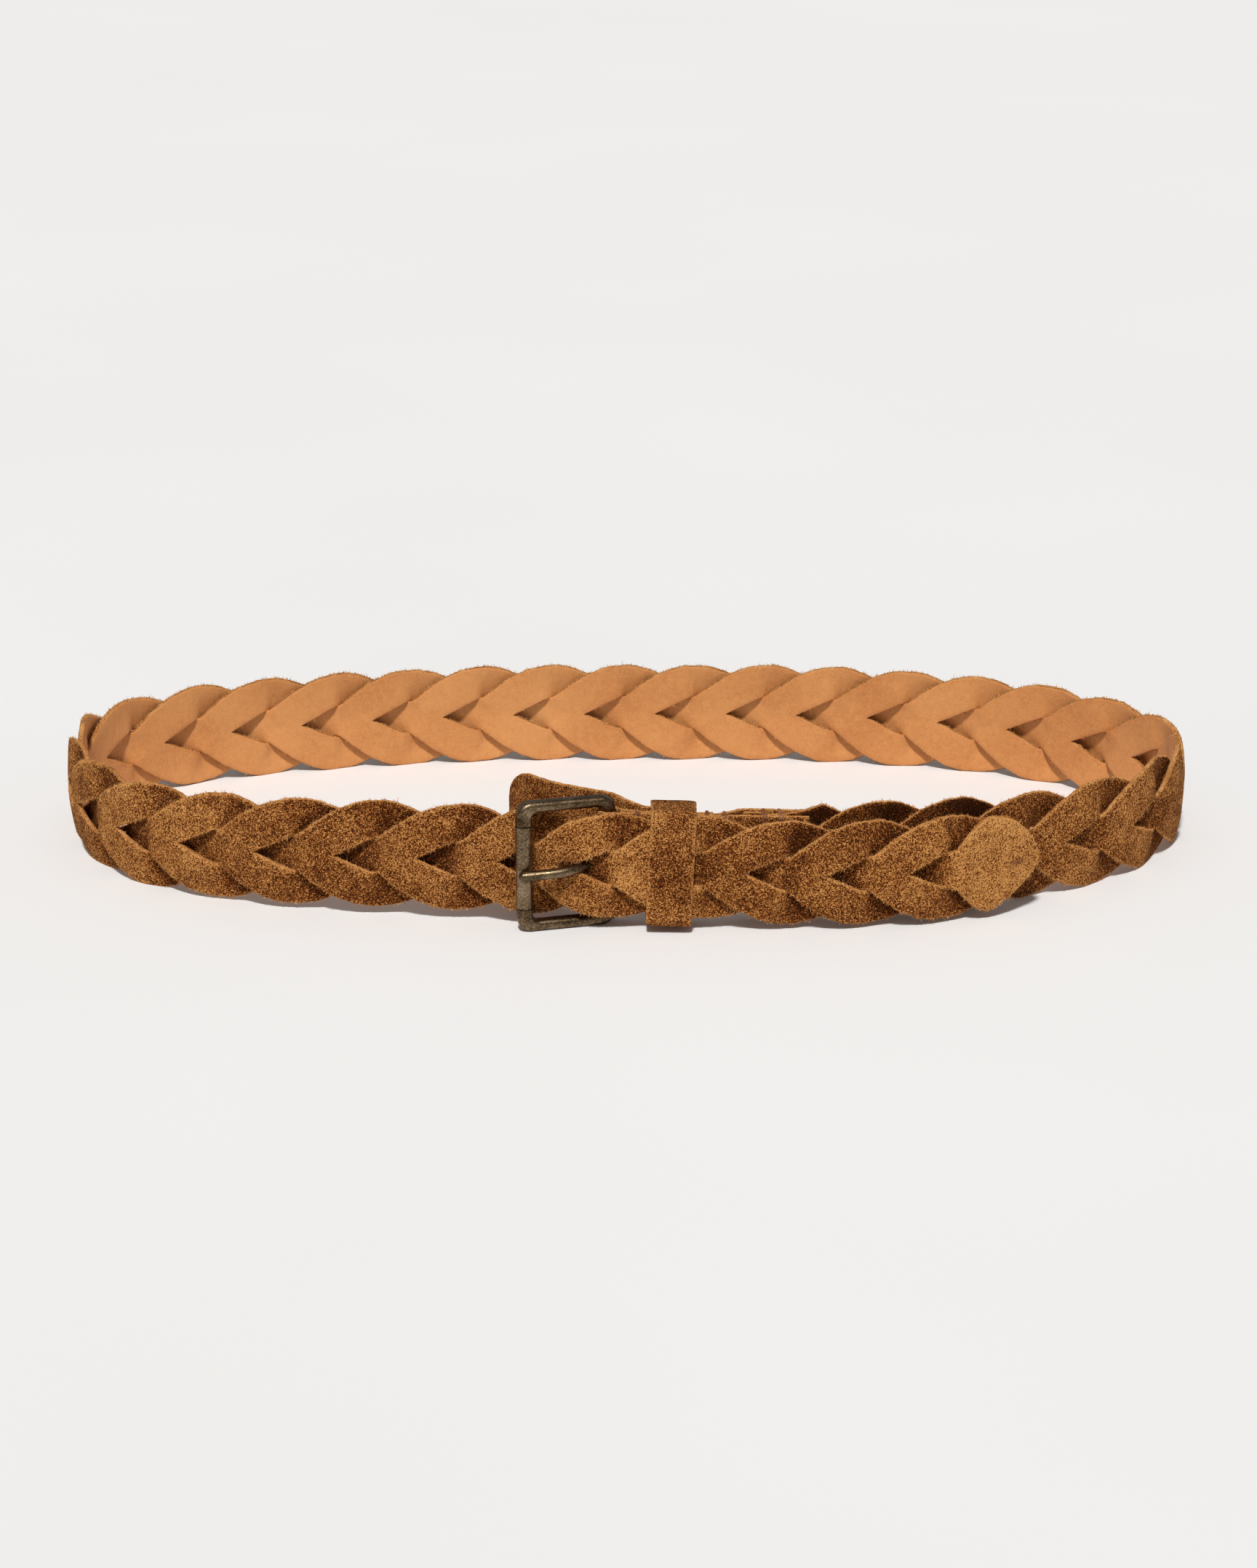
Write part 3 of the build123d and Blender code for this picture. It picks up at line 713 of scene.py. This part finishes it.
def dash(start, end, outward):
    """A stitch lying on a face from start to end, both ends pulled into the leather."""
    start, end, outward = np.array(start, float), np.array(end, float), np.array(outward, float)
    t = np.linspace(0, 1, 13)[:, None]
    sink = 0.75 * (1 - np.sin(pi * t) ** 0.5)
    return start + (end - start) * t + outward * (THREAD * 0.42 - sink)


def stitch_row(x, front, back, turn=0.0):
    """A row of stitches on both faces of the stack at x, whipped over its upper and lower edges."""
    middle = np.array((x, (front + back) / 2, CHAPE_MID_Z))
    way = np.array((cos(turn), sin(turn), 0.0))
    out = np.array((sin(turn), -cos(turn), 0.0))
    up = np.array((0.0, 0.0, 1.0))
    deep = (back - front) / 2
    high = float(chape_half(x)) + 0.15
    paths = []
    for side in (1, -1):
        for k in range(-2, 3):
            low = middle + out * side * deep + up * (k * STITCH_STEP - STITCH_HALF) + way * 0.15 * k
            top = middle + out * side * deep + up * (k * STITCH_STEP + STITCH_HALF) - way * 0.1 * k
            paths.append(dash(low, top, out * side) + TO_FRAME)
    for side in (1, -1):
        for lean in (-0.5, 0.6):
            paths.append(whip(middle, out, up * side, way * lean, deep, high) + TO_FRAME)
    return paths


def whip(middle, out, up, lean, deep, high):
    """Thread up one face of the stack, round its edge and down the other face."""
    corners = []
    reach = deep + THREAD * 0.35
    for t in np.linspace(-WHIP_END, 1 + WHIP_END, 19):
        a = pi * t
        if 0 <= t <= 1:
            z = high - 1.0 + (1.0 + THREAD * 0.45) * sin(a)
            off = reach * cos(a)
        else:
            z = high - 1.0 - WHIP_DROP * abs(t - min(max(t, 0), 1)) / WHIP_END
            off = reach * (1 if t < 0 else -1) * 0.98
        corners.append(middle + out * off + up * z + lean * (0.5 + 0.5 * cos(a)))
    return np.array(corners)


# ---------------------------------------------------------------- materials
def linear(r, g, b):
    """An 8-bit display colour as the linear colour that shaders take."""
    def one(c):
        c /= 255
        return c / 12.92 if c <= 0.04045 else ((c + 0.055) / 1.055) ** 2.4
    return (one(r), one(g), one(b), 1.0)


class Nodes:
    """A material's node tree with short ways to add what the finishes share."""

    def __init__(self, name):
        self.material = bpy.data.materials.new(name)
        self.material.use_nodes = True
        self.tree = self.material.node_tree
        self.shader = self.tree.nodes["Principled BSDF"]
        self.where = self.tree.nodes.new("ShaderNodeTexCoord").outputs["Object"]

    def link(self, a, b):
        self.tree.links.new(a, b)

    def noise(self, scale, detail=3.0, roughness=0.6, distortion=0.0, where=None):
        node = self.tree.nodes.new("ShaderNodeTexNoise")
        node.inputs["Scale"].default_value = scale
        node.inputs["Detail"].default_value = detail
        node.inputs["Roughness"].default_value = roughness
        node.inputs["Distortion"].default_value = distortion
        self.link(where or self.where, node.inputs["Vector"])
        return node.outputs["Fac"]

    def stretched(self, scale, turn):
        node = self.tree.nodes.new("ShaderNodeMapping")
        node.inputs["Scale"].default_value = scale
        node.inputs["Rotation"].default_value = turn
        self.link(self.where, node.inputs["Vector"])
        return node.outputs["Vector"]

    def value(self, name):
        node = self.tree.nodes.new("ShaderNodeAttribute")
        node.attribute_name = name
        return node.outputs["Fac"]

    def math(self, kind, a, b=0.0, c=None):
        node = self.tree.nodes.new("ShaderNodeMath")
        node.operation = kind
        for socket, x in zip(node.inputs, (a, b) if c is None else (a, b, c)):
            if isinstance(x, (int, float)):
                socket.default_value = x
            else:
                self.link(x, socket)
        return node.outputs[0]

    def spread(self, value, low, high, to_low=0.0, to_high=1.0):
        node = self.tree.nodes.new("ShaderNodeMapRange")
        node.inputs["From Min"].default_value = low
        node.inputs["From Max"].default_value = high
        node.inputs["To Min"].default_value = to_low
        node.inputs["To Max"].default_value = to_high
        self.link(value, node.inputs["Value"])
        return node.outputs["Result"]

    def ramp(self, value, *stops):
        node = self.tree.nodes.new("ShaderNodeValToRGB")
        bar = node.color_ramp.elements
        while len(bar) < len(stops):
            bar.new(0.5)
        for element, (place, colour) in zip(bar, stops):
            element.position = place
            element.color = colour
        self.link(value, node.inputs["Fac"])
        return node.outputs["Color"]

    def bump(self, height, distance, strength=1.0, after=None):
        node = self.tree.nodes.new("ShaderNodeBump")
        node.inputs["Distance"].default_value = distance
        node.inputs["Strength"].default_value = strength
        self.link(height, node.inputs["Height"])
        if after is not None:
            self.link(after, node.inputs["Normal"])
        return node.outputs["Normal"]

    def finish(self, colour, roughness, normal=None, **settings):
        self.link(colour, self.shader.inputs["Base Color"])
        if isinstance(roughness, (int, float)):
            self.shader.inputs["Roughness"].default_value = roughness
        else:
            self.link(roughness, self.shader.inputs["Roughness"])
        if normal is not None:
            self.link(normal, self.shader.inputs["Normal"])
        for key, value in settings.items():
            self.shader.inputs[key.replace("_", " ").title().replace("Ior", "IOR")].default_value = value
        return self.material


def suede(name):
    """Napped split leather: ochre fibre ends over dark brown, in soft clouds where it was brushed."""
    n = Nodes(name)
    clump = n.noise(2000, 2, 0.6)
    fibre_a = n.noise(2800, 2.5, 0.65, where=n.stretched((1.0, 0.6, 0.42), (0.4, 0.5, 0.3)))
    fibre_b = n.noise(2800, 2.5, 0.65, where=n.stretched((0.42, 1.0, 1.0), (0.2, -0.5, 0.9)))
    fibre = n.math("MAXIMUM", fibre_a, fibre_b)
    cloud = n.noise(75, 3, 0.55)
    brushed = n.noise(210, 3, 0.6, 0.6)
    level = n.math("MULTIPLY_ADD", fibre, 0.72, n.math("MULTIPLY", clump, 0.28))
    level = n.math("ADD", level, n.spread(cloud, 0.3, 0.7, -0.022, 0.022))
    level = n.math("ADD", level, n.spread(brushed, 0.3, 0.7, -0.02, 0.02))
    # the piece's own tone together with its painted shade and painted light
    level = n.math("ADD", level, n.spread(n.value("tone"), -1.0, 1.6, -0.125, 0.109))
    level = n.math("ADD", level, n.spread(n.value("edge"), 0.55, 1.0, 0.0, 0.05))
    colour = n.ramp(
        level,
        (0.45, linear(50, 21, 6)),
        (0.52, linear(104, 53, 20)),
        (0.57, linear(168, 94, 40)),
        (0.63, linear(250, 182, 106)),
    )
    nap = n.bump(level, 0.0022)
    return n.finish(colour, 0.95, nap, sheen_weight=0.04, sheen_roughness=0.45, specular_ior_level=0.05,
                    sheen_tint=linear(222, 178, 130))


def smooth_side(name):
    """The smooth, undyed inner face: tan, fine-grained, faintly creased and mottled."""
    n = Nodes(name)
    cloud = n.noise(30, 2, 0.5)
    mottle = n.noise(420, 4, 0.65, 0.4)
    grain = n.noise(2200, 3, 0.6)
    crease = n.noise(120, 4, 0.6, 0.8, where=n.stretched((2.6, 2.6, 0.5), (0.0, 0.0, 0.0)))
    level = n.math("MULTIPLY_ADD", cloud, 0.35, n.math("MULTIPLY", mottle, 0.25))
    level = n.math("MULTIPLY_ADD", grain, 0.4, level)
    # the piece's own tone together with its painted shade and painted light
    level = n.math("ADD", level, n.spread(n.value("tone"), 0.0, 1.0, -0.03, 0.03))
    # painted shade: the smooth face darker towards its cut edges, where the straps overlap
    level = n.math("ADD", level, n.spread(n.value("edge"), 0.3, 1.0, 0.0, -0.05))
    colour = n.ramp(
        level,
        (0.34, linear(192, 121, 65)),
        (0.5, linear(214, 146, 85)),
        (0.66, linear(226, 161, 99)),
    )
    folds = n.bump(crease, 0.0005, 0.6)
    skin = n.bump(n.math("ADD", grain, n.math("MULTIPLY", mottle, 1.2)), 0.00016, 0.7, after=folds)
    rough = n.spread(mottle, 0.3, 0.7, 0.52, 0.68)
    return n.finish(colour, rough, skin, specular_ior_level=0.32, sheen_weight=0.05)


def cut_edge(name):
    """The raw cut edge: pale tan fibre."""
    n = Nodes(name)
    fibre = n.noise(2600, 3, 0.6)
    cloud = n.noise(140, 3, 0.6)
    level = n.math("MULTIPLY_ADD", fibre, 0.6, n.math("MULTIPLY", cloud, 0.4))
    colour = n.ramp(
        level,
        (0.38, linear(140, 84, 38)),
        (0.5, linear(206, 140, 78)),
        (0.62, linear(242, 186, 122)),
    )
    return n.finish(colour, 0.95, n.bump(fibre, 0.0007), specular_ior_level=0.05)


def loose_fibre(name):
    n = Nodes(name)
    level = n.noise(1500, 2, 0.5)
    colour = n.ramp(
        level,
        (0.38, linear(150, 92, 42)),
        (0.5, linear(206, 142, 80)),
        (0.62, linear(240, 190, 128)),
    )
    return n.finish(colour, 0.9, None, specular_ior_level=0.08)


def thread_finish(name):
    n = Nodes(name)
    fine = n.noise(3200, 3, 0.6)
    wide = n.noise(300, 2, 0.5)
    level = n.math("MULTIPLY_ADD", fine, 0.6, n.math("MULTIPLY", wide, 0.4))
    colour = n.ramp(
        level,
        (0.38, linear(92, 50, 28)),
        (0.5, linear(140, 88, 56)),
        (0.62, linear(182, 126, 88)),
    )
    return n.finish(colour, 0.78, n.bump(fine, 0.0002), specular_ior_level=0.12)


def antique_brass(name, pale=0.0):
    """Cast metal under a dark patina, rubbed through in specks and clouds."""
    n = Nodes(name)
    cloud = n.noise(110, 4, 0.6)
    speck = n.noise(1500, 4, 0.7)
    pit = n.noise(3400, 2, 0.6)
    level = n.math("MULTIPLY_ADD", speck, 0.55, n.math("MULTIPLY", cloud, 0.45))
    level = n.math("ADD", level, pale)
    colour = n.ramp(
        level,
        (0.36, linear(50, 38, 24)),
        (0.48, linear(100, 82, 60)),
        (0.6, linear(146, 125, 100)),
        (0.72, linear(190, 168, 140)),
    )
    rough = n.spread(level, 0.35, 0.65, 0.46, 0.27)
    cast = n.bump(n.math("ADD", speck, n.math("MULTIPLY", pit, 0.5)), 0.00008, 0.7)
    return n.finish(colour, rough, cast, metallic=1.0)


def paper(name):
    n = Nodes(name)
    colour = n.ramp(n.noise(2.5, 2, 0.5), (0.3, linear(240, 239, 238)), (0.7, linear(243, 242, 241)))
    return n.finish(colour, 0.8, None, specular_ior_level=0.15)


# ---------------------------------------------------------------- pieces
SUEDE = suede("suede")
SMOOTH = smooth_side("smooth_leather")
EDGE = cut_edge("cut_edge")
FIBRE = loose_fibre("loose_fibre")
COTTON = thread_finish("waxed_thread")
BRASS = antique_brass("antique_brass", -0.015)
ROLLER_BRASS = antique_brass("roller_brass", 0.03)


def dress(piece, slot, *materials):
    for material in materials:
        piece.data.materials.append(material)
    return piece


def fit_leather(piece, body, *nodes, inner=None):
    dress(piece, "suede", SUEDE, inner or SMOOTH, EDGE)
    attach(piece, body)
    if nodes:
        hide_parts(*nodes)
    return piece


u_start = u_of(BRAID_START)
FUZZ_PER_MM = 6.0
FITTING_FUZZ_PER_MM = 3.0

for name, middle, last, seed, end_leaf in (
    ("first_strap", FIRST_RING, FIRST_END, 100, False),
    ("second_strap", SECOND_RING, TIP_PITCHES, 200, True),
):
    loop = strap(name + "_braid", middle, u_start, PARTING, seed)
    fit_leather(loop, "belt", name)
    tail = strap(name + "_tail", middle, PARTING, last, seed, end_leaf)
    dress(tail, "suede", SUEDE, SMOOTH, EDGE)
    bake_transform(tail)
    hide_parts(name + "_free_end")
    nap = dress(fuzz(name + "_braid_fuzz", name + "_braid", FUZZ_PER_MM, seed + 11), "suede", FIBRE)
    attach(nap, "belt")
    tail_nap = dress(fuzz(name + "_tail_fuzz", name + "_tail", FUZZ_PER_MM, seed + 12), "suede", FIBRE)
    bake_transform(tail_nap)

for piece, body, node, seed in (
    (chape(), "belt", "chape", 301),
    (guard_flap(), "belt", "guard_flap", 302),
    (keeper(), "keeper_loop", "keeper", 303),
):
    fit_leather(piece, body, node, inner=SUEDE)
    nap = fuzz(piece.name + "_fuzz", piece.name, FITTING_FUZZ_PER_MM, seed, FITTING_FUZZ)
    dress(nap, "suede", FIBRE)
    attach(nap, body)


def braid_row(s):
    x, y, heading = (float(k) for k in line_at(s))
    deep = BRAID_STACK + CHAPE_LEATHER / 2
    return stitch_row(x, y - deep, y + deep, heading)


for name, rows in (
    ("fold_stitches", [stitch_row(2.9, -89.8, -86.2)]),
    ("middle_stitches", [
        stitch_row(26.6, -89.1, -84.1, radians(2)),
        stitch_row(32.5, -88.5, -84.0, radians(3)),
    ]),
    ("end_stitches", [braid_row(21), braid_row(26.6)]),
):
    paths = [path for row in rows for path in row]
    piece = dress(twisted(paths, name + "_thread", ROW_THREAD / 2), "thread", COTTON)
    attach(piece, "belt")
    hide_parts(name)


def keeper_stitches():
    place = np.array(keeper_place())
    paths = []
    deep = (KEEPER_BACK - KEEPER_FRONT) / 2 + KEEPER_LEATHER + 0.15
    for z in (-3.0, 0.0, 3.0):
        local = dash((-3.6, deep, z - 0.3), (3.6, deep, z + 0.3), (0, 1, 0))
        paths.append(local @ place[:3, :3].T + place[:3, 3] / MM)
    return twisted(paths, "keeper_stitches")


piece = dress(keeper_stitches(), "thread", COTTON)
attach(piece, "keeper_loop")
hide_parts("keeper_thread")


def tip_stitch():
    s = float(s_of(TIP_STITCH_AT))
    x, y, heading = (float(k) for k in line_at(s))
    out = np.array((sin(heading), -cos(heading), 0.0))
    way = np.array((cos(heading), sin(heading), 0.0))
    at = np.array((x + SHIFT[0], y + SHIFT[1], STRAP_WIDTH / 2 + float(lift_at(s))))
    at = at + out * (LAYER + LEATHER / 2 + TIP_STITCH_OUT)
    rise = np.array((0, 0, 0.5))
    return twisted([dash(at - way * TIP_STITCH_HALF, at + way * TIP_STITCH_HALF + rise, out)], "tip_stitch")


piece = dress(tip_stitch(), "thread", COTTON)
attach(piece, "free_end")
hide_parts("tip_tack")

for node, finish in (("buckle_frame", BRASS), ("buckle_prong", BRASS), ("buckle_roller", ROLLER_BRASS)):
    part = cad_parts[node]
    part.data.materials.clear()
    part.data.materials.append(finish)

# ---------------------------------------------------------------- studio
FLOOR_HALF = 12.0
LIGHT_COLOUR = (1.0, 0.995, 0.985)
WORLD_LIGHT = 0.26
SUN_LIGHT = 2.72
SUN_WIDTH = 7  # degrees across, for soft shadow edges
KEY_FROM = Vector((-0.08, -0.6, 1.0))
LENS = 78.4
CAMERA_AT = Vector((0.0010, -1.1619, 0.4490))
CAMERA_TO = Vector((0.0010, 0.0082, 0.0190))

floor_mesh = bpy.data.meshes.new("floor")
floor_mesh.from_pydata([(-FLOOR_HALF, -FLOOR_HALF, 0), (FLOOR_HALF, -FLOOR_HALF, 0),
                        (FLOOR_HALF, FLOOR_HALF, 0), (-FLOOR_HALF, FLOOR_HALF, 0)], [], [(0, 1, 2, 3)])
floor = shown("floor", floor_mesh)
floor_mesh.materials.append(paper("paper"))

world = bpy.data.worlds.new("studio")
bpy.context.scene.world = world
world.use_nodes = True
backdrop = world.node_tree.nodes["Background"]
backdrop.inputs["Color"].default_value = (*LIGHT_COLOUR, 1.0)
backdrop.inputs["Strength"].default_value = WORLD_LIGHT

sun_data = bpy.data.lights.new("key", "SUN")
sun_data.energy = SUN_LIGHT
sun_data.angle = radians(SUN_WIDTH)
sun_data.color = LIGHT_COLOUR
key = shown("key", sun_data)
key.rotation_euler = (-KEY_FROM).to_track_quat("-Z", "Y").to_euler()

camera_data = bpy.data.cameras.new("camera")
camera_data.sensor_width = 36.0
camera_data.lens = LENS
camera = shown("camera", camera_data)
camera.location = CAMERA_AT
camera.rotation_euler = (CAMERA_TO - CAMERA_AT).to_track_quat("-Z", "Y").to_euler()
bpy.context.scene.camera = camera
bpy.context.scene.view_settings.view_transform = "Standard"
